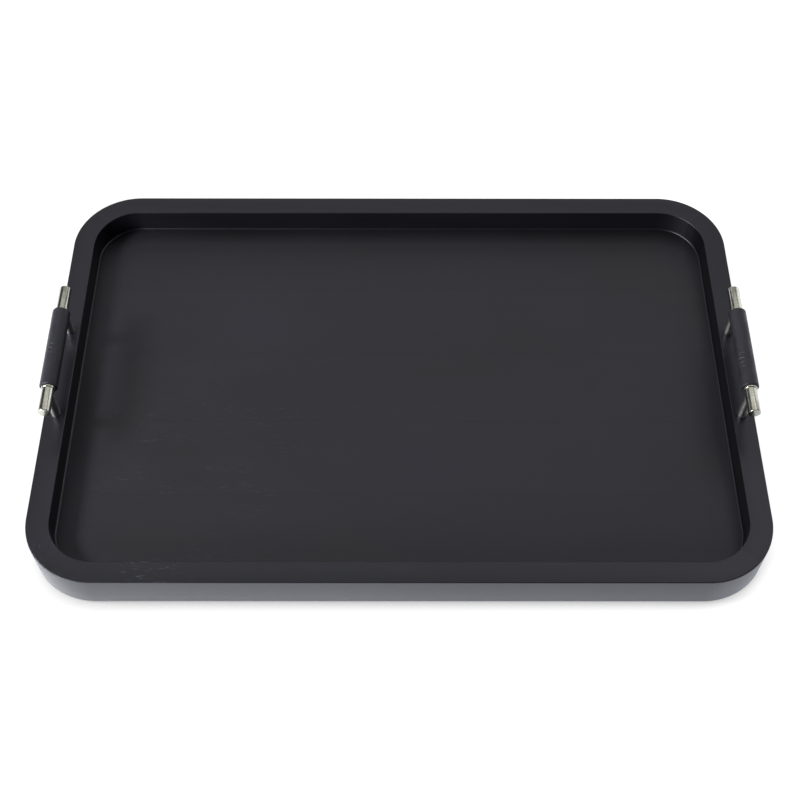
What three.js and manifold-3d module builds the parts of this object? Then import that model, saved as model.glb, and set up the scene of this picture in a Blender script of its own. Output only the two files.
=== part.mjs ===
// Black mango wood serving tray with two nickel bar handles in leather sleeves.
// Millimetres, +Z up, +X along the tray. The origin is the middle of the footprint, on the table.
import * as THREE from "three";
import { mergeVertices } from "three/addons/utils/BufferGeometryUtils.js";
import Module from "manifold-3d";

const wasm = await Module();
wasm.setup();

// Driving sizes of the frame
const trayLength = 610;
const trayDepth = 406;
const cornerRadius = 58;
const railHeight = 35;
const rimWidth = 19;
const wellDepth = 23;
const coveRadius = 1.5;
const rimRound = 0.8;
const footRound = 1;

// Driving sizes of the floor
const boardCount = 5;
const boardThickness = 6;
const tongueThickness = 4;
const tongueLength = 5.5;

// Driving sizes of the corner dowels
const dowelDiameter = 6;
const dowelLength = 30;
const dowelInset = 10;
const dowelEdge = 10;
const dowelChamfer = 0.6;

// Driving sizes of the handles
const rodDiameter = 10.4;
const rodOverhang = 21;
const rodChamfer = 0.6;
const rodHeight = 34;
const collarDiameter = 12;
const collarLength = 1.8;
const collarChamfer = 0.3;
const handleInset = 10.5;
const postDiameter = 8;
const postSpacing = 88;
const spigotDiameter = 4;
const spigotLength = 5;
const sleeveDiameter = 15.3;
const sleeveEdgeRound = 0.9;
const seamWidth = 0.5;

// Driving sizes of the handle screws
const screwDiameter = 5;
const screwEngagement = 12;
const screwHeadDiameter = 9.5;
const screwHeadHeight = 3;
const crossLength = 5;
const crossWidth = 1.1;
const crossDepth = 1.6;
const washerDiameter = 11;
const washerThickness = 1;
const counterboreDiameter = 12;
const counterboreDepth = 4.5;

// Driving sizes of the feet
const footDiameter = 14;
const footSocketDepth = 1.5;
const footProud = 1.5;
const footChamfer = 0.8;
const footInset = 75;

// Fits and clearances
const glueLine = 0.04;
const shoulderGap = 0.15;
const tongueGap = 0.5;
const tongueSideGap = 0.15;
const dowelGap = 0.1;
const seatGap = 0.1;
const screwHoleGap = 0.25;
const threadGap = 0.1;
const sleeveGap = 0.3;

// How far a cutting tool runs past the face it cuts
const cutOver = 1;

// Facets
const cornerSteps = 8;
const edgeSteps = 3;
const coveSteps = 3;
const rodSides = 32;
const fastenerSides = 18;
const smallSides = 16;

// Heights and places that follow from them
const railBottom = footProud;
const railTop = railBottom + railHeight;
const floorTop = railTop - wellDepth;
const floorBottom = floorTop - boardThickness;
const tongueTop = floorBottom + tongueThickness;
const innerFoot = rimWidth + coveRadius;
const grooveBack = innerFoot - tongueLength - tongueGap;
const cornerX = trayLength / 2 - cornerRadius;
const cornerY = trayDepth / 2 - cornerRadius;
const postX = trayLength / 2 - handleInset;
const rodZ = railTop + rodHeight;
const rodRadius = rodDiameter / 2;
const rodLength = postSpacing + 2 * rodOverhang;
const sleeveHalf = (postSpacing - postDiameter) / 2 - sleeveGap;
const collarStart = sleeveHalf + seatGap;
const collarEnd = collarStart + collarLength;
const headSeat = railBottom + counterboreDepth;

const stainedWood = new THREE.MeshStandardMaterial({ color: 0x36353a, roughness: 0.45, metalness: 0 });
const floorWood = new THREE.MeshStandardMaterial({ color: 0x37363b, roughness: 0.5, metalness: 0 });
const bareWood = new THREE.MeshStandardMaterial({ color: 0xc7a67c, roughness: 0.7, metalness: 0 });
const nickel = new THREE.MeshStandardMaterial({ color: 0xb8b6aa, roughness: 0.32, metalness: 1 });
const leather = new THREE.MeshStandardMaterial({ color: 0x38373b, roughness: 0.65, metalness: 0 });
const zincSteel = new THREE.MeshStandardMaterial({ color: 0xa8a9ab, roughness: 0.4, metalness: 1 });
const rubber = new THREE.MeshStandardMaterial({ color: 0x1c1c1d, roughness: 0.85, metalness: 0 });

// Solids: a geometry becomes a closed body, and a cut or kept body becomes a geometry again
function toSolid(geometry) {
  const bare = geometry.clone();
  bare.deleteAttribute("normal");
  bare.deleteAttribute("uv");
  const merged = mergeVertices(bare, 1e-4);
  return new wasm.Manifold(new wasm.Mesh({
    numProp: 3,
    vertProperties: new Float32Array(merged.attributes.position.array),
    triVerts: new Uint32Array(merged.index.array),
  }));
}

function toGeometry(solid) {
  const mesh = solid.getMesh();
  const geometry = new THREE.BufferGeometry();
  geometry.setAttribute("position", new THREE.BufferAttribute(new Float32Array(mesh.vertProperties), 3));
  geometry.setIndex(new THREE.BufferAttribute(new Uint32Array(mesh.triVerts), 1));
  const flat = geometry.toNonIndexed();
  flat.computeVertexNormals();
  return flat;
}

function cut(geometry, tools) {
  return toGeometry(tools.reduce((body, tool) => body.subtract(toSolid(tool)), toSolid(geometry)));
}

// Round stretch of an outline, as points from one angle to another
function arc(centreX, centreY, radius, from, to, steps) {
  return Array.from({ length: steps + 1 }, (_, i) => {
    const angle = from + ((to - from) * i) / steps;
    return new THREE.Vector2(centreX + radius * Math.cos(angle), centreY + radius * Math.sin(angle));
  });
}

// A turned piece standing on +Z, from (radius, height) points that start and end on the axis
function turned(points, sides) {
  const profile = points.map(([radius, height]) => new THREE.Vector2(radius, height));
  return new THREE.LatheGeometry(profile, sides).rotateX(Math.PI / 2);
}

function roundBar(diameter, bottom, top, sides) {
  const geometry = new THREE.CylinderGeometry(diameter / 2, diameter / 2, top - bottom, sides);
  return geometry.rotateX(Math.PI / 2).translate(0, 0, (bottom + top) / 2);
}

function chamferedBar(diameter, length, chamfer, sides) {
  const radius = diameter / 2;
  const half = length / 2;
  return turned([
    [0, -half],
    [radius - chamfer, -half],
    [radius, -half + chamfer],
    [radius, half - chamfer],
    [radius - chamfer, half],
    [0, half],
  ], sides);
}

// Section of a rail: x is the distance in from the outer face, y the height.
// Rounded rim, straight inner wall, cove into the floor, and the groove that holds the floor.
function railSection() {
  const quarter = Math.PI / 2;
  return [
    new THREE.Vector2(innerFoot, railBottom),
    new THREE.Vector2(innerFoot, floorBottom - tongueSideGap),
    new THREE.Vector2(grooveBack, floorBottom - tongueSideGap),
    new THREE.Vector2(grooveBack, tongueTop + tongueSideGap),
    new THREE.Vector2(innerFoot, tongueTop + tongueSideGap),
    ...arc(innerFoot, floorTop + coveRadius, coveRadius, 3 * quarter, 2 * quarter, coveSteps),
    ...arc(rimWidth - rimRound, railTop - rimRound, rimRound, 0, quarter, edgeSteps),
    ...arc(rimRound, railTop - rimRound, rimRound, quarter, 2 * quarter, edgeSteps),
    ...arc(footRound, railBottom + footRound, footRound, 2 * quarter, 3 * quarter, edgeSteps),
  ];
}

// Centres of the four round corners, in order from front left, and each side's outward angle
const cornerCentres = [
  new THREE.Vector2(-cornerX, -cornerY),
  new THREE.Vector2(cornerX, -cornerY),
  new THREE.Vector2(cornerX, cornerY),
  new THREE.Vector2(-cornerX, cornerY),
];
const outwardAngle = (side) => (side - 1) * (Math.PI / 2);

// One rail: its section swept from mitre to mitre, round half a corner at each end
function railSweep(side) {
  const facing = outwardAngle(side);
  const halfGap = glueLine / 2 / (cornerRadius - rimWidth);
  const reach = Math.PI / 4 - halfGap;
  const first = cornerCentres[side];
  const last = cornerCentres[(side + 1) % 4];
  const stations = [
    ...arc(0, 0, 1, facing - reach, facing, cornerSteps).map((outward) => ({ centre: first, outward })),
    ...arc(0, 0, 1, facing, facing + reach, cornerSteps).map((outward) => ({ centre: last, outward })),
  ];
  const section = railSection();
  const positions = stations.flatMap(({ centre, outward }) => section.flatMap((point) => {
    const radius = cornerRadius - point.x;
    return [centre.x + radius * outward.x, centre.y + radius * outward.y, point.y];
  }));
  const count = section.length;
  const indices = [];
  for (let ring = 0; ring + 1 < stations.length; ring++) {
    for (let i = 0; i < count; i++) {
      const here = ring * count + i;
      const next = ring * count + ((i + 1) % count);
      indices.push(here, next, here + count, next, next + count, here + count);
    }
  }
  const lastRing = (stations.length - 1) * count;
  for (const [a, b, c] of THREE.ShapeUtils.triangulateShape(section, [])) {
    indices.push(c, b, a, lastRing + a, lastRing + b, lastRing + c);
  }
  const geometry = new THREE.BufferGeometry();
  geometry.setAttribute("position", new THREE.Float32BufferAttribute(positions, 3));
  geometry.setIndex(indices);
  return geometry;
}

// The two dowel places at a corner, as rotated and placed copies of a bar
const dowelHeights = [railBottom + dowelEdge, railTop - dowelEdge];

function atDowelPlace(bar, corner, height) {
  const angle = outwardAngle(corner) - Math.PI / 4;
  const centre = cornerCentres[corner];
  const radius = cornerRadius - dowelInset;
  return bar.rotateX(Math.PI / 2).rotateZ(angle).translate(
    centre.x + radius * Math.cos(angle),
    centre.y + radius * Math.sin(angle),
    height,
  );
}

function dowelHoles(corner) {
  const diameter = dowelDiameter + 2 * dowelGap;
  const half = dowelLength / 2 + dowelGap;
  return dowelHeights.map((height) => {
    const bar = roundBar(diameter, -half, half, smallSides);
    return atDowelPlace(bar, corner, height);
  });
}

// Places along the rails
const postPlaces = (sideSign) => [-1, 1].map((end) => [sideSign * postX, (end * postSpacing) / 2]);
const footPlaces = (sideSign) => [-1, 1].map((end) => [
  end * (trayLength / 2 - footInset),
  sideSign * (trayDepth / 2 - innerFoot / 2),
]);

function screwHoles([x, y]) {
  const holeDiameter = screwDiameter + 2 * screwHoleGap;
  return [
    roundBar(holeDiameter, railBottom, railTop + cutOver, smallSides).translate(x, y, 0),
    roundBar(counterboreDiameter, railBottom - cutOver, headSeat, rodSides).translate(x, y, 0),
  ];
}

function footSocket([x, y]) {
  const diameter = footDiameter + 2 * seatGap;
  return roundBar(diameter, railBottom - cutOver, railBottom + footSocketDepth, rodSides).translate(x, y, 0);
}

// The short rails carry the handles' screws, and the long rails the feet
const railCuts = [
  footPlaces(-1).map(footSocket),
  postPlaces(1).flatMap(screwHoles),
  footPlaces(1).map(footSocket),
  postPlaces(-1).flatMap(screwHoles),
];

function rail(side) {
  return cut(railSweep(side), [...railCuts[side], ...dowelHoles(side), ...dowelHoles((side + 1) % 4)]);
}

// Outline of the floor, set in from the tray's outside by an even margin
function floorOutline(inset) {
  const quarter = Math.PI / 2;
  const points = cornerCentres.flatMap((centre, corner) => {
    const from = outwardAngle(corner) - quarter;
    return arc(centre.x, centre.y, cornerRadius - inset, from, from + quarter, cornerSteps);
  });
  return new THREE.Shape(points);
}

function slab(outline, bottom, top) {
  const geometry = new THREE.ExtrudeGeometry(outline, { depth: top - bottom, bevelEnabled: false });
  return geometry.translate(0, 0, bottom);
}

// The floor: a raised face with a tongue all round it, sawn along X into glued boards
function floorBoards() {
  const faceInset = innerFoot + shoulderGap;
  const tongue = slab(floorOutline(faceInset - tongueLength), floorBottom, tongueTop);
  const face = slab(floorOutline(faceInset), floorBottom, floorTop);
  const panel = toSolid(tongue).add(toSolid(face));
  const faceDepth = trayDepth - 2 * faceInset;
  const pitch = faceDepth / boardCount;
  return Array.from({ length: boardCount }, (_, i) => {
    const frontEdge = i === 0 ? -trayDepth / 2 : -faceDepth / 2 + i * pitch + glueLine / 2;
    const backEdge = i === boardCount - 1 ? trayDepth / 2 : -faceDepth / 2 + (i + 1) * pitch - glueLine / 2;
    const strip = new THREE.BoxGeometry(trayLength, backEdge - frontEdge, boardThickness + 2 * cutOver);
    strip.translate(0, (frontEdge + backEdge) / 2, (floorBottom + floorTop) / 2);
    return toGeometry(panel.intersect(toSolid(strip)));
  });
}

// Handle pieces are each made at their post or rod, on the tray's middle line

// The rod: a bar with a turned collar at each end of the sleeve, drilled from below for the posts
function handleRod() {
  const half = rodLength / 2;
  const collar = collarDiameter / 2;
  const upperHalf = [
    [rodRadius, collarStart],
    [collar - collarChamfer, collarStart],
    [collar, collarStart + collarChamfer],
    [collar, collarEnd - collarChamfer],
    [collar - collarChamfer, collarEnd],
    [rodRadius, collarEnd],
    [rodRadius, half - rodChamfer],
    [rodRadius - rodChamfer, half],
    [0, half],
  ];
  const lowerHalf = upperHalf.map(([radius, along]) => [radius, -along]).reverse();
  const bar = turned([...lowerHalf, ...upperHalf], rodSides).rotateX(Math.PI / 2);
  const holeDiameter = spigotDiameter + 2 * threadGap;
  const holeTop = spigotLength - rodRadius + seatGap;
  const holes = [-1, 1].map((end) => (
    roundBar(holeDiameter, -rodRadius - cutOver, holeTop, smallSides).translate(0, (end * postSpacing) / 2, 0)
  ));
  return cut(bar, holes).translate(0, 0, rodZ);
}

// A post: saddle cut to the rod and its collar on top, spigot into the rod, blind screw hole from below.
// The end is -1 for a front post and 1 for a back post.
function handlePost(end) {
  const body = roundBar(postDiameter, railTop + seatGap, rodZ, rodSides);
  const saddleRadius = rodRadius + seatGap;
  const saddleLength = postDiameter + 2 * cutOver;
  const saddle = new THREE.CylinderGeometry(saddleRadius, saddleRadius, saddleLength, 2 * rodSides);
  const collarSeat = collarDiameter / 2 + seatGap;
  const collarReach = collarEnd + seatGap;
  const collarSaddle = new THREE.CylinderGeometry(collarSeat, collarSeat, collarReach, 2 * rodSides);
  collarSaddle.translate(0, (end * (collarReach - postSpacing)) / 2, rodZ);
  const spigotTop = rodZ - rodRadius + spigotLength;
  const spigot = roundBar(spigotDiameter, spigotTop - 2 * spigotLength, spigotTop, smallSides);
  const holeTop = railTop + screwEngagement + 2 * seatGap;
  const screwHole = roundBar(screwDiameter + 2 * threadGap, railBottom, holeTop, smallSides);
  const saddled = toSolid(body).subtract(toSolid(saddle.translate(0, 0, rodZ)));
  const coped = saddled.subtract(toSolid(collarSaddle));
  return toGeometry(coped.add(toSolid(spigot)).subtract(toSolid(screwHole)));
}

// The leather sleeve: a tube with eased ends, butted along a seam underneath
function leatherSleeve() {
  const inner = rodRadius + seatGap;
  const outer = sleeveDiameter / 2;
  const half = sleeveHalf;
  const ring = [
    new THREE.Vector2(inner, -half),
    ...arc(outer - sleeveEdgeRound, -half + sleeveEdgeRound, sleeveEdgeRound, -Math.PI / 2, 0, edgeSteps),
    ...arc(outer - sleeveEdgeRound, half - sleeveEdgeRound, sleeveEdgeRound, 0, Math.PI / 2, edgeSteps),
    new THREE.Vector2(inner, half),
    new THREE.Vector2(inner, -half),
  ];
  const tube = new THREE.LatheGeometry(ring, rodSides);
  const seam = new THREE.BoxGeometry(seamWidth, 2 * (half + cutOver), outer);
  return cut(tube, [seam.translate(0, 0, -outer)]).translate(0, 0, rodZ);
}

// Pan head screw with a cross recess, pointing up into the post
function handleScrew() {
  const seat = headSeat - washerThickness - 2 * seatGap;
  const head = screwHeadDiameter / 2;
  const bottom = seat - screwHeadHeight;
  const shank = screwDiameter / 2;
  const tip = railTop + screwEngagement;
  const body = turned([
    [0, bottom],
    [head - screwHeadHeight / 2, bottom],
    [head - screwHeadHeight / 8, bottom + screwHeadHeight / 3],
    [head, seat],
    [shank, seat],
    [shank, tip - shank / 3],
    [shank - shank / 3, tip],
    [0, tip],
  ], fastenerSides);
  const slots = [0, Math.PI / 2].map((turn) => (
    new THREE.BoxGeometry(crossLength, crossWidth, 2 * crossDepth).rotateZ(turn).translate(0, 0, bottom)
  ));
  return cut(body, slots);
}

function washer() {
  const hole = screwDiameter / 2 + screwHoleGap;
  const outer = washerDiameter / 2;
  const top = headSeat - seatGap;
  const bottom = top - washerThickness;
  return turned([[hole, bottom], [outer, bottom], [outer, top], [hole, top], [hole, bottom]], fastenerSides);
}

// Rubber foot: a plug in its socket, with a chamfered flat tread on the table
function rubberFoot() {
  const radius = footDiameter / 2;
  const top = railBottom + footSocketDepth - seatGap;
  return turned([
    [0, 0],
    [radius - footChamfer, 0],
    [radius, footChamfer],
    [radius, top],
    [0, top],
  ], rodSides);
}

const tray = new THREE.Group();

function place(name, geometry, material, parent = tray) {
  const mesh = new THREE.Mesh(geometry, material);
  mesh.name = name;
  parent.add(mesh);
  return mesh;
}

// Frame
const sideNames = ["front", "right", "back", "left"];
sideNames.forEach((name, side) => place(`${name}_rail`, rail(side), stainedWood));

// Dowels across the corner mitres
const cornerNames = ["front_left", "front_right", "back_right", "back_left"];
const dowelNames = ["lower", "upper"];
cornerNames.forEach((cornerName, corner) => {
  dowelHeights.forEach((height, level) => {
    const dowel = chamferedBar(dowelDiameter, dowelLength, dowelChamfer, smallSides);
    place(`corner_dowel_${cornerName}_${dowelNames[level]}`, atDowelPlace(dowel, corner, height), bareWood);
  });
});

// Floor
floorBoards().forEach((board, i) => place(`floor_board_${i + 1}`, board, floorWood));

// Handles
for (const [sideName, sideSign] of [["left", -1], ["right", 1]]) {
  const handle = new THREE.Group();
  handle.position.set(sideSign * postX, 0, 0);
  tray.add(handle);
  place(`${sideName}_handle_rod`, handleRod(), nickel, handle);
  place(`${sideName}_leather_sleeve`, leatherSleeve(), leather, handle);
  for (const [endName, end] of [["front", -1], ["back", 1]]) {
    const stand = new THREE.Group();
    stand.position.set(0, (end * postSpacing) / 2, 0);
    handle.add(stand);
    place(`${sideName}_handle_post_${endName}`, handlePost(end), nickel, stand);
    place(`${sideName}_handle_screw_${endName}`, handleScrew(), zincSteel, stand);
    place(`${sideName}_handle_washer_${endName}`, washer(), zincSteel, stand);
  }
}

// Feet
for (const [rowName, rowSign] of [["front", -1], ["back", 1]]) {
  footPlaces(rowSign).forEach(([x, y], i) => {
    const foot = place(`rubber_foot_${rowName}_${["left", "right"][i]}`, rubberFoot(), rubber);
    foot.position.set(x, y, 0);
  });
}

export default tray;
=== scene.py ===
"""Looks of the black mango wood tray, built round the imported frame. Metres, +Z up, +X along the tray."""

import math

import bpy
from mathutils import Matrix, Vector, noise


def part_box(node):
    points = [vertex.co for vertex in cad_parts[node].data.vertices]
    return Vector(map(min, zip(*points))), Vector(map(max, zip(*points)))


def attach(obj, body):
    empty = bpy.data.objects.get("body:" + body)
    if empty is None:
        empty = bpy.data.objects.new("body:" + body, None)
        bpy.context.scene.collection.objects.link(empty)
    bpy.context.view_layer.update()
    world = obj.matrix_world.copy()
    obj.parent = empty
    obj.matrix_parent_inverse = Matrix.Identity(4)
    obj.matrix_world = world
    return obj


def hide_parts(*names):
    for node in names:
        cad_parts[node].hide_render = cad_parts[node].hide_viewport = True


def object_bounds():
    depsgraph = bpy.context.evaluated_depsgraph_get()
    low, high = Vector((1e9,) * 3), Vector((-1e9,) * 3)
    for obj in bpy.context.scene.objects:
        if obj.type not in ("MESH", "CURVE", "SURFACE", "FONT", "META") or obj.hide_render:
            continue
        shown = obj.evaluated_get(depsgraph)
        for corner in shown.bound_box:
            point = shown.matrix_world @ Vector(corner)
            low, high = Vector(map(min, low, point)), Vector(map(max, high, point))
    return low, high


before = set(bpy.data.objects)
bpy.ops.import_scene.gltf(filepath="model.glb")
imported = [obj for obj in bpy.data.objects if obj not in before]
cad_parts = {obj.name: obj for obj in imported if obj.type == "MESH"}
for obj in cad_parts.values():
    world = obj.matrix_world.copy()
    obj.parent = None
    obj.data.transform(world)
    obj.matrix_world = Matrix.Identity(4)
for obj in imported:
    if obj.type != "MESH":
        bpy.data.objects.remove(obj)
cad_low, cad_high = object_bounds()

MM = 0.001
QUARTER = math.pi / 2
SHARP_ANGLE = 35

# Sizes of the wooden frame and floor
half_length = cad_high.x
half_depth = cad_high.y
rail_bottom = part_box("front_rail")[0].z
rail_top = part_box("front_rail")[1].z
floor_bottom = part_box("floor_board_3")[0].z
floor_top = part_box("floor_board_3")[1].z
corner_radius = 58 * MM
rim_width = 19 * MM
cove_radius = 1.5 * MM
rim_round = 0.8 * MM
foot_round = 1 * MM
groove_top = floor_bottom + 4.15 * MM
groove_bottom = floor_bottom - 0.15 * MM
groove_depth = 6 * MM
board_count = 5
inner_foot = rim_width + cove_radius
mitre_gap = 0.03 * MM

# Sizes of the handles
rod_low, rod_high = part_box("right_handle_rod")
rod_x = (rod_low.x + rod_high.x) / 2
rod_z = (rod_low.z + rod_high.z) / 2
rod_radius = 5.2 * MM
rod_half = rod_high.y
rod_edge = 0.6 * MM
collar_radius = (rod_high.z - rod_low.z) / 2
collar_length = 1.8 * MM
collar_edge = 0.3 * MM
post_low, post_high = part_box("right_handle_post_back")
post_y = (post_low.y + post_high.y) / 2
post_radius = (post_high.x - post_low.x) / 2
sleeve_low, sleeve_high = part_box("right_leather_sleeve")
sleeve_half = sleeve_high.y
sleeve_radius = (sleeve_high.x - sleeve_low.x) / 2
sleeve_edge = 0.9 * MM
collar_start = sleeve_half + 0.1 * MM
collar_end = collar_start + collar_length

# Sizes of the holes and feet underneath
screw_hole_radius = 2.75 * MM
counterbore_radius = 6 * MM
counterbore_top = rail_bottom + 4.5 * MM
foot_low, foot_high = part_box("rubber_foot_front_right")
foot_x = (foot_low.x + foot_high.x) / 2
foot_y = (foot_low.y + foot_high.y) / 2
foot_radius = (foot_high.x - foot_low.x) / 2
foot_top = foot_high.z
foot_edge = 0.8 * MM
socket_radius = foot_radius + 0.1 * MM
socket_top = rail_bottom + 1.5 * MM
cut_over = 1 * MM


# Mesh helpers

def arc(centre, radius, start, end, steps):
    """Points on a round stretch, from one angle to another."""
    angles = [start + (end - start) * i / steps for i in range(steps + 1)]
    return [(centre[0] + radius * math.cos(a), centre[1] + radius * math.sin(a)) for a in angles]


def make_mesh(name, points, faces, sharp_angle=SHARP_ANGLE):
    """A mesh with smooth shading that breaks at edges sharper than the angle, in degrees."""
    mesh = bpy.data.meshes.new(name)
    mesh.from_pydata(points, [], faces)
    mesh.validate()
    mesh.shade_smooth()
    mesh.set_sharp_from_angle(angle=math.radians(sharp_angle))
    return mesh


def make_object(name, mesh):
    obj = bpy.data.objects.new(name, mesh)
    bpy.context.scene.collection.objects.link(obj)
    return obj


def paint(obj, material):
    """Gives an object one material in place of those it has."""
    obj.data.materials.clear()
    obj.data.materials.append(material)


def add_piece(name, mesh, material, nodes=()):
    """A finished piece of the tray, riding on its one body in place of the nodes it stands for."""
    obj = make_object(name, mesh)
    paint(obj, material)
    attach(obj, "root")
    if nodes:
        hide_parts(*nodes)


def ring_faces(rings, count, closed_rings=False):
    """Quads between neighbouring rings of equal count, each ring closed on itself."""
    faces = []
    for ring in range(rings if closed_rings else rings - 1):
        here = ring * count
        there = ((ring + 1) % rings) * count
        for i in range(count):
            j = (i + 1) % count
            faces.append((here + i, here + j, there + j, there + i))
    return faces


def closed_faces(rings, count, start=0):
    """Faces of a solid made of rings, with a flat end on the first and the last one.
    Start is the number of the first ring's first point."""
    faces = ring_faces(rings, count)
    faces.append(tuple(reversed(range(count))))
    faces.append(tuple(range((rings - 1) * count, rings * count)))
    return [tuple(start + i for i in face) for face in faces]


def turned_points(profile, sides):
    """Rings of points round +Z for each (radius, height) of a profile."""
    return [
        (radius * math.cos(2 * math.pi * i / sides), radius * math.sin(2 * math.pi * i / sides), height)
        for radius, height in profile
        for i in range(sides)
    ]


def turned_mesh(name, profile, sides, move):
    """A solid of revolution from a profile that runs upward, with flat ends, then moved by a matrix."""
    points = [move @ Vector(p) for p in turned_points(profile, sides)]
    return make_mesh(name, points, closed_faces(len(profile), sides))


def cut_holes(obj, cutter):
    """The object's mesh with the cutter's solids taken out of it."""
    modifier = obj.modifiers.new("holes", "BOOLEAN")
    modifier.operation = "DIFFERENCE"
    modifier.solver = "EXACT"
    modifier.object = cutter
    evaluated = obj.evaluated_get(bpy.context.evaluated_depsgraph_get())
    mesh = bpy.data.meshes.new_from_object(evaluated)
    mesh.shade_smooth()
    mesh.set_sharp_from_angle(angle=math.radians(SHARP_ANGLE))
    bpy.data.objects.remove(obj)
    bpy.data.objects.remove(cutter)
    return mesh


# Material helpers

def new_material(name):
    """A material with one principled shader, its node tree and that shader."""
    material = bpy.data.materials.new(name)
    material.use_nodes = True
    tree = material.node_tree
    tree.nodes.clear()
    output = tree.nodes.new("ShaderNodeOutputMaterial")
    shader = tree.nodes.new("ShaderNodeBsdfPrincipled")
    tree.links.new(shader.outputs["BSDF"], output.inputs["Surface"])
    return material, tree, shader


def feed(tree, shader, name, value):
    tree.links.new(value, shader.inputs[name])


def along(axis, with_grain, across):
    """A scale that is one number along an axis and another across it."""
    return tuple(with_grain if i == axis else across for i in range(3))


def even(scale):
    """The same scale on all three axes."""
    return (scale, scale, scale)


def scaled_coordinates(tree, scale, shift=(0, 0, 0)):
    """Object coordinates in metres, stretched and then moved."""
    source = tree.nodes.new("ShaderNodeTexCoord")
    mapping = tree.nodes.new("ShaderNodeMapping")
    mapping.inputs["Location"].default_value = shift
    mapping.inputs["Scale"].default_value = scale
    tree.links.new(source.outputs["Object"], mapping.inputs["Vector"])
    return mapping.outputs["Vector"]


def noise_value(tree, scale, shift=(0, 0, 0), detail=3, rough=0.5, distortion=0.0):
    """Noise about 0.5 over stretched and moved object coordinates."""
    texture = tree.nodes.new("ShaderNodeTexNoise")
    texture.inputs["Scale"].default_value = 1.0
    texture.inputs["Detail"].default_value = detail
    texture.inputs["Roughness"].default_value = rough
    texture.inputs["Distortion"].default_value = distortion
    tree.links.new(scaled_coordinates(tree, scale, shift), texture.inputs["Vector"])
    return texture.outputs["Fac"]


def map_range(tree, value, from_low, from_high, to_low, to_high):
    node = tree.nodes.new("ShaderNodeMapRange")
    node.inputs["From Min"].default_value = from_low
    node.inputs["From Max"].default_value = from_high
    node.inputs["To Min"].default_value = to_low
    node.inputs["To Max"].default_value = to_high
    tree.links.new(value, node.inputs["Value"])
    return node.outputs["Result"]


def ramp(tree, value, low, high):
    """0 up to the low value, 1 from the high value on."""
    return map_range(tree, value, low, high, 0.0, 1.0)


def math_value(tree, operation, first, second):
    """A math node whose inputs are sockets or plain numbers."""
    node = tree.nodes.new("ShaderNodeMath")
    node.operation = operation
    for socket, value in zip(node.inputs, (first, second)):
        if isinstance(value, (int, float)):
            socket.default_value = value
        else:
            tree.links.new(value, socket)
    return node.outputs["Value"]


def times(tree, first, second):
    return math_value(tree, "MULTIPLY", first, second)


def toned(colour, factor):
    """A plain colour made darker or lighter."""
    return tuple(factor * c for c in colour)


def mix_colour(tree, factor, first, second):
    """A colour between two, each a socket or a plain colour."""
    node = tree.nodes.new("ShaderNodeMix")
    node.data_type = "RGBA"
    tree.links.new(factor, node.inputs["Factor"])
    for name, value in (("A", first), ("B", second)):
        socket = next(s for s in node.inputs if s.name == name and s.type == "RGBA")
        if isinstance(value, tuple):
            socket.default_value = (*value, 1.0)
        else:
            tree.links.new(value, socket)
    return next(s for s in node.outputs if s.type == "RGBA")


def bump(tree, height, strength, distance, normal=None):
    node = tree.nodes.new("ShaderNodeBump")
    node.inputs["Strength"].default_value = strength
    node.inputs["Distance"].default_value = distance
    tree.links.new(height, node.inputs["Height"])
    if normal is not None:
        tree.links.new(normal, node.inputs["Normal"])
    return node.outputs["Normal"]


def normal_height(tree):
    """1 on faces that look up, 0 on upright ones and -1 on those that look down."""
    source = tree.nodes.new("ShaderNodeTexCoord")
    split = tree.nodes.new("ShaderNodeSeparateXYZ")
    tree.links.new(source.outputs["Normal"], split.inputs["Vector"])
    return split.outputs["Z"]


# Materials

def scuffs(tree, axis, shift, centre, reach):
    """1 on short scratches along the grain, in loose groups round a place on upward faces, else 0."""
    dash = noise_value(tree, along(axis, 130, 900), shift, detail=2, distortion=0.4)
    group = noise_value(tree, along(axis, 16, 45), shift, detail=2)
    source = tree.nodes.new("ShaderNodeTexCoord")
    distance = tree.nodes.new("ShaderNodeVectorMath")
    distance.operation = "DISTANCE"
    distance.inputs[1].default_value = centre
    tree.links.new(source.outputs["Object"], distance.inputs[0])
    near = map_range(tree, distance.outputs["Value"], 0.3 * reach, reach, 1.0, 0.0)
    upward = ramp(tree, normal_height(tree), 0.6, 0.9)
    grouped = times(tree, near, ramp(tree, group, 0.48, 0.60))
    return times(tree, times(tree, grouped, upward), ramp(tree, dash, 0.60, 0.70))


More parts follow.
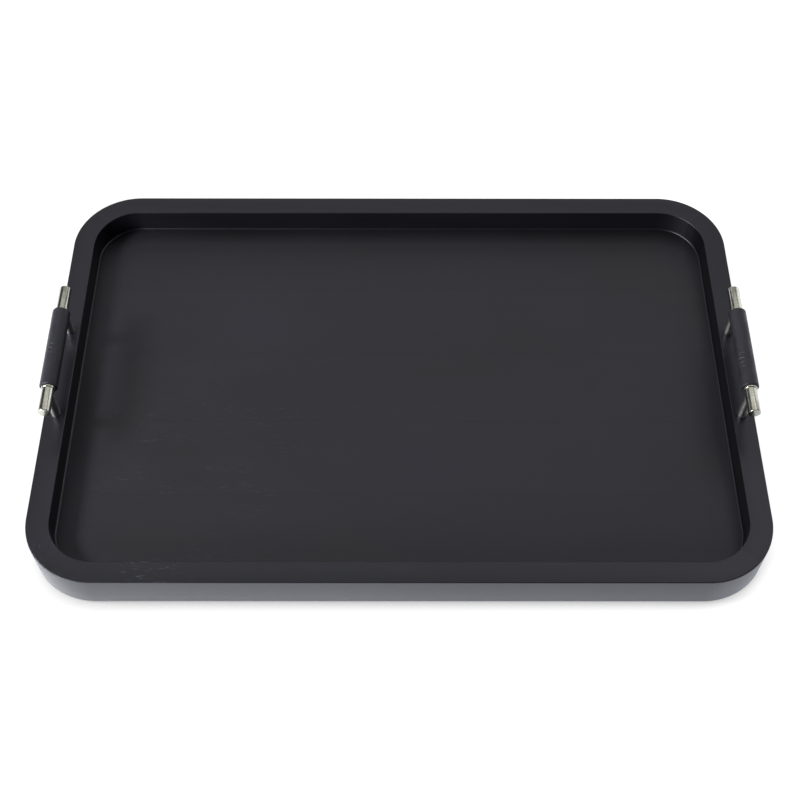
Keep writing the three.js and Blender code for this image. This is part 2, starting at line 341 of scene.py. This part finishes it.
def stained_mango(name, axis, seed, dark, light, rough, sheen,
                  upright_painted_shade, scuff_centre, scuff_reach, scuff_lift):
    """Black-stained mango wood with its grain along an axis, under satin lacquer with two sheen colours.
    Upright painted shade, from 0 to 1, is how much darker upright faces are painted: painted shade where
    little light reaches them."""
    figure_share = 0.55
    fibre_share = 0.45
    pore_depth = 0.3
    pore_rough = 0.04
    edge_wear = 0.55
    rough_spread = 0.03
    lacquer_ior = 1.5
    relief = 0.1 * MM
    pore_tone = toned(dark, 0.35)
    upright_shade_tone = toned(dark, 0.2)
    edge_tone = toned(light, 2.2)
    scuff_tone = toned(light, scuff_lift)

    material, tree, shader = new_material(name)
    shift = (seed * 0.37, seed * 0.91, seed * 0.53)
    figure = noise_value(tree, along(axis, 2.4, 34), shift, detail=4, distortion=0.8)
    fibre = noise_value(tree, along(axis, 14, 700), shift, detail=4, rough=0.6)
    pore = noise_value(tree, along(axis, 70, 1300), shift, detail=2, rough=0.4)
    mottle = noise_value(tree, even(7))

    grain = math_value(tree, "ADD", times(tree, figure, figure_share), times(tree, fibre, fibre_share))
    wood = mix_colour(tree, ramp(tree, grain, 0.32, 0.68), dark, light)
    pore_mask = ramp(tree, pore, 0.60, 0.70)
    pored = mix_colour(tree, times(tree, pore_mask, pore_depth), wood, pore_tone)

    geometry = tree.nodes.new("ShaderNodeNewGeometry")
    edge = map_range(tree, geometry.outputs["Pointiness"], 0.515, 0.60, 0.0, edge_wear)
    worn = times(tree, edge, map_range(tree, mottle, 0.35, 0.65, 0.2, 1.0))
    edged = mix_colour(tree, worn, pored, edge_tone)
    scratch = scuffs(tree, axis, shift, scuff_centre, scuff_reach)
    scuffed = mix_colour(tree, scratch, edged, scuff_tone)
    # Painted shade: upright faces are darkened towards a deeper tone, by how upright they are.
    level = math_value(tree, "ABSOLUTE", normal_height(tree), 0.0)
    upright = map_range(tree, level, 0.3, 0.7, upright_painted_shade, 0.0)
    feed(tree, shader, "Base Color", mix_colour(tree, upright, scuffed, upright_shade_tone))

    base_rough = map_range(tree, mottle, 0.25, 0.75, rough - rough_spread, rough + rough_spread)
    feed(tree, shader, "Roughness", math_value(tree, "ADD", base_rough, times(tree, pore_mask, pore_rough)))
    shader.inputs["IOR"].default_value = lacquer_ior
    feed(tree, shader, "Specular Tint", mix_colour(tree, ramp(tree, mottle, 0.40, 0.60), *sheen))

    fibres = bump(tree, fibre, 0.2, relief)
    sunk = math_value(tree, "SUBTRACT", 1.0, pore_mask)
    feed(tree, shader, "Normal", bump(tree, sunk, 0.12, relief, fibres))
    return material


def satin_nickel(name, axis, dark, light, rough, stretch):
    """Satin nickel turned round an axis. Stretch draws its highlights out along that axis."""
    rough_spread = 0.03
    quarter_turn = 0.25
    material, tree, shader = new_material(name)
    streak = noise_value(tree, along(axis, 900, 60), detail=3, rough=0.6)
    cloud = noise_value(tree, even(160), detail=2)
    feed(tree, shader, "Base Color", mix_colour(tree, ramp(tree, streak, 0.3, 0.7), dark, light))
    shader.inputs["Metallic"].default_value = 1.0
    roughness = map_range(tree, cloud, 0.3, 0.7, rough - rough_spread, rough + rough_spread)
    feed(tree, shader, "Roughness", roughness)
    tangent = tree.nodes.new("ShaderNodeTangent")
    tangent.direction_type = "RADIAL"
    tangent.axis = "XYZ"[axis]
    feed(tree, shader, "Tangent", tangent.outputs["Tangent"])
    shader.inputs["Anisotropic"].default_value = stretch
    shader.inputs["Anisotropic Rotation"].default_value = quarter_turn
    feed(tree, shader, "Normal", bump(tree, streak, 0.03, 0.02 * MM))
    return material


def black_leather(name):
    """Matte black leather: small cells with painted shade in the creases between them, and a cloudy sheen.
    """
    dark = (0.0095, 0.0094, 0.0128)
    light = (0.0175, 0.0172, 0.0235)
    crease_shade_tone = (0.006, 0.006, 0.007)
    sheen = (0.88, 0.89, 1.0, 1.0)
    material, tree, shader = new_material(name)
    cells = tree.nodes.new("ShaderNodeTexVoronoi")
    cells.feature = "DISTANCE_TO_EDGE"
    cells.inputs["Scale"].default_value = 1.0
    tree.links.new(scaled_coordinates(tree, even(1500)), cells.inputs["Vector"])
    grain = ramp(tree, cells.outputs["Distance"], 0.0, 0.25)
    cloud = noise_value(tree, even(110), detail=4)
    skin = mix_colour(tree, ramp(tree, cloud, 0.3, 0.7), dark, light)
    # Painted shade: the creases between the cells are darkened.
    crease = map_range(tree, grain, 0.0, 0.5, 0.6, 0.0)
    feed(tree, shader, "Base Color", mix_colour(tree, crease, skin, crease_shade_tone))
    feed(tree, shader, "Roughness", map_range(tree, cloud, 0.3, 0.7, 0.44, 0.58))
    shader.inputs["Specular Tint"].default_value = sheen
    creases = bump(tree, cloud, 0.25, 0.4 * MM)
    feed(tree, shader, "Normal", bump(tree, grain, 0.35, 0.12 * MM, creases))
    return material


def speckled(name, scale, detail, dark, light, smooth, rough, relief, relief_depth, metallic=0.0):
    """A plain finish whose colour, roughness and relief all follow one fine noise."""
    material, tree, shader = new_material(name)
    speck = noise_value(tree, even(scale), detail=detail)
    feed(tree, shader, "Base Color", mix_colour(tree, speck, dark, light))
    feed(tree, shader, "Roughness", map_range(tree, speck, 0.3, 0.7, smooth, rough))
    shader.inputs["Metallic"].default_value = metallic
    feed(tree, shader, "Normal", bump(tree, speck, relief, relief_depth))
    return material


def bare_beech(name):
    return speckled(
        name, scale=600, detail=4, dark=(0.46, 0.30, 0.16), light=(0.66, 0.46, 0.27),
        smooth=0.6, rough=0.8, relief=0.3, relief_depth=0.1 * MM,
    )


def waxed_thread(name):
    return speckled(
        name, scale=2500, detail=2, dark=(0.012, 0.012, 0.013), light=(0.035, 0.034, 0.036),
        smooth=0.45, rough=0.65, relief=0.4, relief_depth=0.1 * MM,
    )


def zinc_plate(name):
    return speckled(
        name, scale=700, detail=4, dark=(0.44, 0.45, 0.47), light=(0.64, 0.65, 0.66),
        smooth=0.26, rough=0.46, relief=0.15, relief_depth=0.05 * MM, metallic=1.0,
    )


def moulded_rubber(name):
    return speckled(
        name, scale=2200, detail=2, dark=(0.008, 0.008, 0.008), light=(0.022, 0.022, 0.022),
        smooth=0.7, rough=0.9, relief=0.3, relief_depth=0.1 * MM,
    )


# Wooden frame

def rail_section():
    """Points of a rail's section, as (distance in from the outer face, height)."""
    edge_steps = 6
    cove_steps = 8
    cove = (inner_foot, floor_top + cove_radius)
    inner_rim = (rim_width - rim_round, rail_top - rim_round)
    outer_rim = (rim_round, rail_top - rim_round)
    outer_foot = (foot_round, rail_bottom + foot_round)
    return [
        (inner_foot, rail_bottom),
        (inner_foot, groove_bottom),
        (inner_foot - groove_depth, groove_bottom),
        (inner_foot - groove_depth, groove_top),
        (inner_foot, groove_top),
        *arc(cove, cove_radius, 3 * QUARTER, 2 * QUARTER, cove_steps),
        *arc(inner_rim, rim_round, 0, QUARTER, edge_steps),
        *arc(outer_rim, rim_round, QUARTER, 2 * QUARTER, edge_steps),
        *arc(outer_foot, foot_round, 2 * QUARTER, 3 * QUARTER, edge_steps),
    ]


corner_x = half_length - corner_radius
corner_y = half_depth - corner_radius
corner_centres = [
    (-corner_x, -corner_y),
    (corner_x, -corner_y),
    (corner_x, corner_y),
    (-corner_x, corner_y),
]


def rail_stations(side):
    """Corner centre and outward direction at each place along a rail, from mitre to mitre."""
    corner_steps = 26
    straight_steps = 24
    facing = (side - 1) * QUARTER
    reach = QUARTER / 2 - mitre_gap / 2 / (corner_radius - rim_width)
    first = Vector(corner_centres[side])
    last = Vector(corner_centres[(side + 1) % 4])
    before = [(first, d) for d in arc((0, 0), 1, facing - reach, facing, corner_steps)]
    after = [(last, d) for d in arc((0, 0), 1, facing, facing + reach, corner_steps)]
    outward = (math.cos(facing), math.sin(facing))
    between = [(first.lerp(last, i / straight_steps), outward) for i in range(1, straight_steps)]
    return before + between + after


def rail_mesh(name, side):
    """A rail: its section carried along the stations of its side."""
    section = rail_section()
    stations = rail_stations(side)
    points = []
    for centre, outward in stations:
        for inset, height in section:
            radius = corner_radius - inset
            points.append((centre[0] + radius * outward[0], centre[1] + radius * outward[1], height))
    return make_mesh(name, points, closed_faces(len(stations), len(section)))


def hole_cutter(name, places, profile):
    """One object holding a turned cutter at each place."""
    sides = 48
    points = []
    faces = []
    for x, y in places:
        faces += closed_faces(len(profile), sides, len(points))
        points += [(x + px, y + py, pz) for px, py, pz in turned_points(profile, sides)]
    return make_object(name, make_mesh(name, points, faces))


def screw_hole_profile():
    """A screw's hole through a rail, with a counterbore for its head at the bottom."""
    return [
        (counterbore_radius, rail_bottom - cut_over),
        (counterbore_radius, counterbore_top),
        (screw_hole_radius, counterbore_top),
        (screw_hole_radius, rail_top + cut_over),
    ]


def socket_profile():
    """A shallow socket for a foot."""
    return [(socket_radius, rail_bottom - cut_over), (socket_radius, socket_top)]


def build_frame():
    """The four rails, with painted shade: the right one darker all over, and the upright faces of the short
    ones darker.
    """
    side_names = ["front", "right", "back", "left"]
    signs = [-1, 1, 1, -1]
    dark = (0.0040, 0.0038, 0.0060)
    light = (0.0072, 0.0069, 0.0105)
    sheen = ((0.88, 0.90, 1.0), (0.90, 0.88, 1.0))
    scuffed_rim = (-225 * MM, -195 * MM, rail_top)
    for side, (side_name, sign) in enumerate(zip(side_names, signs)):
        runs_along_x = side % 2 == 0
        if runs_along_x:
            places = [(-foot_x, sign * abs(foot_y)), (foot_x, sign * abs(foot_y))]
            profile = socket_profile()
        else:
            places = [(sign * rod_x, -post_y), (sign * rod_x, post_y)]
            profile = screw_hole_profile()
        name = f"{side_name}_rail"
        solid = make_object("whole_" + name, rail_mesh(name, side))
        mesh = cut_holes(solid, hole_cutter("cutter_" + name, places, profile))
        # Painted shade: the right rail is darker all over, to dim its inner wall, which the lamps on the
        # left light.
        tone = 0.6 if side_name == "right" else 1.0
        material = stained_mango(
            f"frame_wood_{side_name}", axis=0 if runs_along_x else 1, seed=side + 1,
            dark=toned(dark, tone), light=toned(light, tone), rough=0.33, sheen=sheen,
            upright_painted_shade=0.0 if runs_along_x else 0.9,
            scuff_centre=scuffed_rim, scuff_reach=90 * MM, scuff_lift=9.0,
        )
        add_piece("shaped_" + name, mesh, material, [name])


# Floor

def glue_line_mesh(name):
    """Thin strips of glue in the joints between the floor's boards, so that no light comes through them."""
    half_strip = half_length - inner_foot - 0.5 * MM
    half_thick = 0.08 * MM
    low = floor_bottom + 0.5 * MM
    high = floor_top - 0.3 * MM
    points = []
    faces = []
    for i in range(1, board_count):
        front_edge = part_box(f"floor_board_{i}")[1].y
        back_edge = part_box(f"floor_board_{i + 1}")[0].y
        joint = (front_edge + back_edge) / 2
        faces += closed_faces(2, 4, len(points))
        for z in (low, high):
            points += [
                (-half_strip, joint - half_thick, z),
                (half_strip, joint - half_thick, z),
                (half_strip, joint + half_thick, z),
                (-half_strip, joint + half_thick, z),
            ]
    return make_mesh(name, points, faces)


def build_floor():
    """The boards, each with a figure of its own in one shared tone, and the glue between them."""
    dark = (0.0033, 0.0032, 0.0044)
    light = (0.0060, 0.0058, 0.0079)
    sheen = ((0.93, 0.94, 1.0), (0.90, 0.86, 1.0))
    scuffed_place = (-175 * MM, -95 * MM, floor_top)
    for i in range(1, board_count + 1):
        material = stained_mango(
            f"floor_wood_{i}", axis=0, seed=10 + 3 * i, dark=dark, light=light, rough=0.46,
            sheen=sheen, upright_painted_shade=0.0,
            scuff_centre=scuffed_place, scuff_reach=160 * MM, scuff_lift=4.0,
        )
        paint(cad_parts[f"floor_board_{i}"], material)
    add_piece("floor_glue_lines", glue_line_mesh("glue_lines"), material)


# Handles

def rod_profile():
    """Outline of a rod with a turned collar at each end of the sleeve, from end to end."""
    steps = 4
    round_radius = collar_radius - collar_edge
    upper = [
        (rod_radius, collar_start),
        *arc((round_radius, collar_start + collar_edge), collar_edge, -QUARTER, 0, steps),
        *arc((round_radius, collar_end - collar_edge), collar_edge, 0, QUARTER, steps),
        (rod_radius, collar_end),
        *arc((rod_radius - rod_edge, rod_half - rod_edge), rod_edge, 0, QUARTER, steps),
    ]
    lower = [(radius, -along_rod) for radius, along_rod in reversed(upper)]
    return lower + upper


def post_mesh(name, x, y):
    """A post from the rim up to the rod, its top coped to the underside of the rod and its collar."""
    sides = 64
    foot_steps = 3
    foot_edge_round = 0.4 * MM
    seat = rail_top + 0.1 * MM
    crown_height = rod_z - rod_radius * 0.6
    foot_centre = (post_radius - foot_edge_round, seat + foot_edge_round)
    profile = arc(foot_centre, foot_edge_round, -QUARTER, 0, foot_steps)
    points = [(x + px, y + py, pz) for px, py, pz in turned_points(profile, sides)]
    for i in range(sides):
        angle = 2 * math.pi * i / sides
        across = post_radius * math.cos(angle)
        along_rod = y + post_radius * math.sin(angle)
        seat_radius = collar_radius if abs(along_rod) < collar_end else rod_radius
        points.append((x + across, along_rod, rod_z - math.sqrt(seat_radius ** 2 - across ** 2)))
    rings = len(profile) + 1
    points.append((x, y, crown_height))
    crown = len(points) - 1
    last = (rings - 1) * sides
    faces = ring_faces(rings, sides)
    faces.append(tuple(reversed(range(sides))))
    faces += [(last + i, last + (i + 1) % sides, crown) for i in range(sides)]
    return make_mesh(name, points, faces, sharp_angle=40)


def sleeve_wrinkles(angle, y, wrinkle_angle, wrinkle_y):
    """A few fine wrinkles across the sleeve, where a hand has bent the leather."""
    pitch = 4.6 * MM
    spread = 9 * MM
    group = math.exp(-(((y - wrinkle_y) / spread) ** 2)) * max(0.0, math.cos(angle - wrinkle_angle)) ** 3
    slant = 0.35 * pitch * noise.noise(Vector((angle * 2.0, y * 90, wrinkle_angle)))
    return group * max(0.0, math.cos(2 * math.pi * (y - wrinkle_y + slant) / pitch)) ** 4


def sleeve_relief(angle, y, seed, wrinkle_angle, wrinkle_y):
    """How far the leather stands out from a true tube: waves, less the creases, wrinkles and seam."""
    wave_depth = 0.09 * MM
    crease_depth = 0.07 * MM
    seam_depth = 0.55 * MM
    wrinkle_depth = 0.4 * MM
    seam_spread = 0.09
    wave = noise.noise(Vector((math.cos(angle) * 1.4 + seed, y * 95, math.sin(angle) * 1.4)))
    crease = noise.noise(Vector((math.cos(angle) * 0.8 - seed, y * 420, math.sin(angle) * 0.8)))
    from_seam = abs(math.atan2(math.sin(angle + QUARTER), math.cos(angle + QUARTER)))
    seam_dip = math.exp(-((from_seam / seam_spread) ** 2))
    wrinkle = sleeve_wrinkles(angle, y, wrinkle_angle, wrinkle_y)
    soft = wave_depth * wave - crease_depth * max(0.0, crease)
    return soft - seam_depth * seam_dip - wrinkle_depth * wrinkle


def sleeve_mesh(name, x, seed, wrinkle_angle, wrinkle_y):
    """A leather tube round the rod: outside with creases and a seam, eased ends, inside on the rod."""
    sides = 120
    steps = 220
    edge_steps = 6
    skin = 0.12 * MM
    radius = sleeve_radius - skin
    inner = rod_radius + 0.05 * MM
    flat = sleeve_half - sleeve_edge
    lower = arc((radius - sleeve_edge, -flat), sleeve_edge, -QUARTER, 0, edge_steps)
    upper = arc((radius - sleeve_edge, flat), sleeve_edge, 0, QUARTER, edge_steps)
    middle = [(radius, -flat + 2 * flat * i / steps) for i in range(1, steps)]
    profile = [(inner, -sleeve_half)] + lower + middle + upper + [(inner, sleeve_half)]
    points = []
    for ring_radius, y in profile:
        relief_share = 0.0 if ring_radius == inner else 1.0
        for i in range(sides):
            angle = 2 * math.pi * i / sides
            r = ring_radius + relief_share * sleeve_relief(angle, y, seed, wrinkle_angle, wrinkle_y)
            points.append((x + r * math.cos(angle), y, rod_z + r * math.sin(angle)))
    faces = [tuple(reversed(face)) for face in ring_faces(len(profile), sides, closed_rings=True)]
    return make_mesh(name, points, faces, sharp_angle=60)


def stitch_path(x, y, length):
    """One slanting stitch across the seam on the underside of a sleeve."""
    steps = 8
    reach = 0.24
    sunk = 0.45 * MM
    lift = 0.12 * MM
    path = []
    for i in range(steps + 1):
        t = i / steps
        angle = -QUARTER + reach * (2 * t - 1)
        arch = math.sin(math.pi * t)
        r = sleeve_radius - sunk + lift * arch
        path.append(Vector((x + r * math.cos(angle), y + length * (t - 0.5), rod_z + r * math.sin(angle))))
    return path


def tube_along(path, radius, sides, points, faces):
    """Adds a closed tube along a path, thinner at its ends, to lists of points and faces."""
    end_share = 0.55
    faces += closed_faces(len(path), sides, len(points))
    for i, centre in enumerate(path):
        ahead = path[min(i + 1, len(path) - 1)] - path[max(i - 1, 0)]
        direction = ahead.normalized()
        side = direction.cross(Vector((0, 0, 1))).normalized()
        up = side.cross(direction)
        thin = end_share if i in (0, len(path) - 1) else 1.0
        for k in range(sides):
            a = 2 * math.pi * k / sides
            points.append(centre + (side * math.cos(a) + up * math.sin(a)) * radius * thin)


def stitching_mesh(name, x):
    """A row of slanting stitches that closes the sleeve's seam."""
    pitch = 4.2 * MM
    length = 0.7 * pitch
    thread_radius = 0.33 * MM
    thread_sides = 10
    bare_ends = 4 * MM
    count = int((2 * sleeve_half - bare_ends) / pitch)
    points = []
    faces = []
    for i in range(count):
        y = (i - (count - 1) / 2) * pitch
        tube_along(stitch_path(x, y, length), thread_radius, thread_sides, points, faces)
    return make_mesh(name, points, faces)


def build_handles():
    """A rod, its sleeve with a seam, and two posts on each short side."""
    rod_sides = 96
    rod_nickel = satin_nickel(
        "nickel_rod", 1, dark=(0.40, 0.395, 0.335), light=(0.50, 0.495, 0.43), rough=0.2, stretch=0.3,
    )
    post_nickel = satin_nickel(
        "nickel_post", 2, dark=(0.36, 0.36, 0.35), light=(0.45, 0.45, 0.44), rough=0.32, stretch=0.85,
    )
    leather = black_leather("sleeve_leather")
    thread = waxed_thread("sleeve_thread")
    lay_along_y = Matrix.Rotation(-QUARTER, 4, "X")
    for side_name, sign in (("left", -1), ("right", 1)):
        x = sign * rod_x
        move = Matrix.Translation((x, 0, rod_z)) @ lay_along_y
        rod = turned_mesh(f"{side_name}_rod", rod_profile(), rod_sides, move)
        add_piece(f"{side_name}_bright_rod", rod, rod_nickel, [f"{side_name}_handle_rod"])
        wrinkle_angle = math.radians(115 if side_name == "left" else 120)
        wrinkle_y = (-4 if side_name == "left" else -13) * MM
        sleeve = sleeve_mesh(f"{side_name}_sleeve", x, 3.7 * (sign + 2), wrinkle_angle, wrinkle_y)
        add_piece(f"{side_name}_sewn_sleeve", sleeve, leather, [f"{side_name}_leather_sleeve"])
        stitches = stitching_mesh(f"{side_name}_stitches", x)
        add_piece(f"{side_name}_sleeve_stitching", stitches, thread)
        for end_name, end in (("front", -1), ("back", 1)):
            post = post_mesh(f"{side_name}_post_{end_name}", x, end * post_y)
            node = f"{side_name}_handle_post_{end_name}"
            add_piece(f"{side_name}_bright_post_{end_name}", post, post_nickel, [node])


# Feet, fasteners and dowels

def foot_mesh(name, x, y):
    """A round foot with an eased tread."""
    sides = 64
    steps = 5
    tread = arc((foot_radius - foot_edge, foot_edge), foot_edge, -QUARTER, 0, steps)
    profile = tread + [(foot_radius, foot_top)]
    return turned_mesh(name, profile, sides, Matrix.Translation((x, y, 0)))


def build_small_pieces():
    """The feet, and the finish of the screws, washers and dowels, which keep their solids' shapes."""
    rubber = moulded_rubber("foot_rubber")
    zinc = zinc_plate("zinc_steel")
    beech = bare_beech("dowel_beech")
    for row_name, row in (("front", -1), ("back", 1)):
        for side_name, side in (("left", -1), ("right", 1)):
            name = f"rubber_foot_{row_name}_{side_name}"
            mesh = foot_mesh("mesh_" + name, side * foot_x, row * abs(foot_y))
            add_piece("moulded_" + name, mesh, rubber, [name])
    for name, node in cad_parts.items():
        if "screw" in name or "washer" in name:
            paint(node, zinc)
        elif "dowel" in name:
            paint(node, beech)


# Studio: camera, floor, world and lights

def build_camera():
    """The camera of the photograph, found from the tray's edges: 800 by 800 pixels, no shift."""
    focal_pixels = 1314
    image_pixels = 800
    pitch = math.radians(56.66)
    yaw = math.radians(-0.125)
    roll = math.radians(0.148)
    place = Vector((-0.8 * MM, -654.1 * MM, rail_top + 949.5 * MM))
    camera = bpy.data.cameras.new("camera")
    camera.sensor_width = 36
    camera.lens = focal_pixels / image_pixels * camera.sensor_width
    camera.clip_start = 0.01
    obj = make_object("camera", camera)
    turn = Matrix.Rotation(yaw, 4, "Z") @ Matrix.Rotation(QUARTER - pitch, 4, "X")
    obj.matrix_world = Matrix.Translation(place) @ turn @ Matrix.Rotation(roll, 4, "Z")
    bpy.context.scene.camera = obj


def across_stage(tree, axis, start, end, start_level, end_level):
    """A level of the stage that changes evenly between two places on an axis and holds beyond them."""
    place = tree.nodes.new("ShaderNodeTexCoord")
    split = tree.nodes.new("ShaderNodeSeparateXYZ")
    tree.links.new(place.outputs["Object"], split.inputs["Vector"])
    return map_range(tree, split.outputs[axis], start, end, start_level, end_level)


def far_stage(tree, near, far):
    """0 on the stage up to one distance from the tray's middle, 1 from another one on."""
    place = tree.nodes.new("ShaderNodeTexCoord")
    distance = tree.nodes.new("ShaderNodeVectorMath")
    distance.operation = "LENGTH"
    tree.links.new(place.outputs["Object"], distance.inputs[0])
    return ramp(tree, distance.outputs["Value"], near, far)


def contact_shade(tree):
    """Painted shadow on the stage's glow: 1 on the open stage, less close to the tray, least in front of
    it, more at its sides and back.
    """
    near_tray = 20 * MM
    falloff = 2.1
    front_depth = 0.56
    side_depth = 0.35
    turn_of_corner = 28 * MM
    sky = tree.nodes.new("ShaderNodeAmbientOcclusion")
    sky.samples = 8
    sky.inputs["Distance"].default_value = near_tray
    covered = map_range(tree, sky.outputs["AO"], 0.5, 1.0, 1.0, 0.0)
    depth = across_stage(tree, "Y", -half_depth, -half_depth + turn_of_corner, front_depth, side_depth)
    shadow = times(tree, depth, math_value(tree, "POWER", covered, falloff))
    return math_value(tree, "SUBTRACT", 1.0, shadow)


def seen_directly(tree):
    """1 for camera and transmission rays, 0 for all others."""
    path = tree.nodes.new("ShaderNodeLightPath")
    camera = path.outputs["Is Camera Ray"]
    transmission = path.outputs["Is Transmission Ray"]
    return math_value(tree, "MAXIMUM", camera, transmission)


def seen_strength(tree, camera_level, glossy_level):
    """A glow for camera, glossy and transmission rays, and none for the rays that light other things."""
    path = tree.nodes.new("ShaderNodeLightPath")
    seen = times(tree, seen_directly(tree), times(tree, contact_shade(tree), camera_level))
    mirrored = times(tree, path.outputs["Is Glossy Ray"], glossy_level)
    return math_value(tree, "ADD", seen, mirrored)


def stage_material(name):
    """Pale paint with a glow that the camera and glossy surfaces see. The camera's glow is evened out from
    left to right; the glossy one is dimmer left of the tray, as painted shade seen in reflections.
    """
    pale = (0.8, 0.8, 0.8)
    pale_to_camera = (0.3, 0.3, 0.3)
    white = (1.0, 1.0, 1.0)
    cool_white = (0.93, 0.99, 1.11)
    left_glow = 0.7
    right_glow = 0.97
    mirrored_left = 0.3
    mirrored_right = 0.72
    mirrored_start = -550 * MM
    white_start = 450 * MM
    white_end = 950 * MM
    material = bpy.data.materials.new(name)
    material.use_nodes = True
    tree = material.node_tree
    tree.nodes.clear()
    output = tree.nodes.new("ShaderNodeOutputMaterial")
    path = tree.nodes.new("ShaderNodeLightPath")
    diffuse = tree.nodes.new("ShaderNodeBsdfDiffuse")
    feed(tree, diffuse, "Color", mix_colour(tree, path.outputs["Is Camera Ray"], pale, pale_to_camera))
    glow = tree.nodes.new("ShaderNodeEmission")
    feed(tree, glow, "Color", mix_colour(tree, path.outputs["Is Glossy Ray"], white, cool_white))
    near_level = across_stage(tree, "X", -half_length, half_length, left_glow, right_glow)
    camera_level = math_value(tree, "MAXIMUM", near_level, far_stage(tree, white_start, white_end))
    # Painted shade seen only in reflections: the stage left of the tray glows less for glossy rays.
    glossy_level = across_stage(tree, "X", mirrored_start, -half_length, mirrored_left, mirrored_right)
    feed(tree, glow, "Strength", seen_strength(tree, camera_level, glossy_level))
    both = tree.nodes.new("ShaderNodeAddShader")
    tree.links.new(diffuse.outputs["BSDF"], both.inputs[0])
    tree.links.new(glow.outputs["Emission"], both.inputs[1])
    tree.links.new(both.outputs["Shader"], output.inputs["Surface"])
    return material


def build_floor_stage():
    """A pale floor that turns up into a low backdrop far off. It looks white but keeps a painted shadow
    close to the tray and a weak cast one.
    """
    flat_radius = 10.0
    turn_radius = 2.0
    turn_steps = 8
    sides = 96
    profile = arc((flat_radius, turn_radius), turn_radius, -QUARTER, 0, turn_steps)
    faces = [tuple(reversed(face)) for face in ring_faces(len(profile), sides)]
    mesh = make_mesh("studio_floor", turned_points(profile, sides), [tuple(range(sides))] + faces)
    floor = make_object("studio_floor", mesh)
    paint(floor, stage_material("studio_floor"))


def build_world():
    """A dim, even room behind the lamps, white where the camera sees it past the stage."""
    room_level = 0.04
    world = bpy.data.worlds.new("studio")
    world.use_nodes = True
    tree = world.node_tree
    tree.nodes.clear()
    output = tree.nodes.new("ShaderNodeOutputWorld")
    room = tree.nodes.new("ShaderNodeBackground")
    room.inputs["Color"].default_value = (1.0, 1.0, 1.0, 1.0)
    feed(tree, room, "Strength", math_value(tree, "MAXIMUM", seen_directly(tree), room_level))
    tree.links.new(room.outputs["Background"], output.inputs["Surface"])
    bpy.context.scene.world = world


def add_softbox(name, azimuth, elevation, width, height, watts):
    """A soft lamp turned to the middle of the tray. Azimuth 0 is the right, 90 the back."""
    distance = 2.0
    turn = math.radians(azimuth)
    rise = math.radians(elevation)
    level = math.cos(rise) * distance
    place = Vector((math.cos(turn) * level, math.sin(turn) * level, math.sin(rise) * distance))
    lamp = bpy.data.lights.new(name, "AREA")
    lamp.shape = "RECTANGLE"
    lamp.size = width
    lamp.size_y = height
    lamp.energy = watts
    obj = make_object(name, lamp)
    obj.location = place
    obj.rotation_euler = (-place).to_track_quat("-Z", "Y").to_euler()
    obj.visible_camera = False


def build_studio():
    build_camera()
    build_floor_stage()
    build_world()
    add_softbox("left_key", 190, 41.5, 0.44, 0.44, watts=30)
    add_softbox("front_left_softbox", 225, 20, 0.74, 0.74, watts=38)
    add_softbox("low_back_panel", 90, 28, 2.36, 0.73, watts=5.0)
    add_softbox("back_panel", 91, 56, 2.56, 0.82, watts=5.3)
    add_softbox("overhead_panel", 90, 75, 1.82, 0.82, watts=3.1)
    add_softbox("right_softbox", 25, 55, 0.74, 0.74, watts=2.0)
    add_softbox("right_back_strip", 33, 18, 0.8, 1.26, watts=4.1)


build_studio()
build_frame()
build_floor()
build_handles()
build_small_pieces()

scene = bpy.context.scene
scene.view_settings.view_transform = "Standard"
